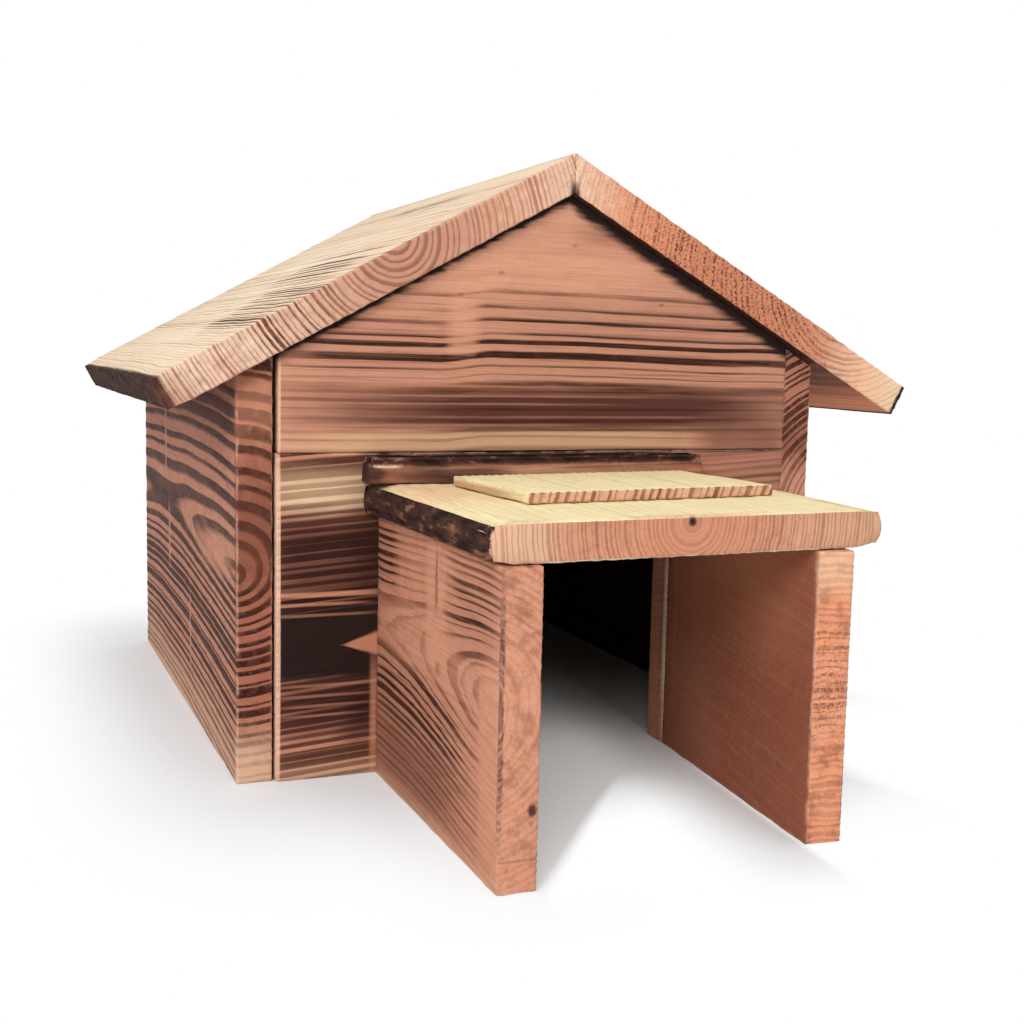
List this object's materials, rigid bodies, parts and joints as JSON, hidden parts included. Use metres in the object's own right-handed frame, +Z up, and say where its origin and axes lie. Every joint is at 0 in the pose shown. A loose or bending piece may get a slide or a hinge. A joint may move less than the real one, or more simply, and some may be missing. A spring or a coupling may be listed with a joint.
{
  "type": "hedgehog house",
  "caption": "Small gabled hedgehog house of wide scorched and brushed boards, with a roofed entrance tunnel at the front and an open base.",
  "frame": {"origin": "on the ground under the middle of the whole object, tunnel included", "axes": "+X to the right seen from the front, +Y from the tunnel mouth to the back, +Z up"},
  "size_m": [0.474, 0.575, 0.3513],
  "materials": {
    "wall_wood": "scorched and brushed softwood, raised grain",
    "roof_wood": "pale weathered softwood with grey streaks, raw end grain",
    "bark_wood": "rough live edge with dark bark"
  },
  "bodies": {
    "root": {"left_wall": "wall_wood", "right_wall": "wall_wood", "front_gable": "wall_wood", "front_left_panel": "wall_wood", "front_right_panel": "wall_wood", "front_lintel": "wall_wood", "back_gable": "wall_wood", "back_panel": "wall_wood", "roof_left": "roof_wood", "roof_right": "roof_wood", "tunnel_left_wall": "wall_wood", "tunnel_right_wall": "wall_wood", "tunnel_roof": "roof_wood", "tunnel_batten": "bark_wood", "blank_plate": "roof_wood"}
  },
  "joints": []
}
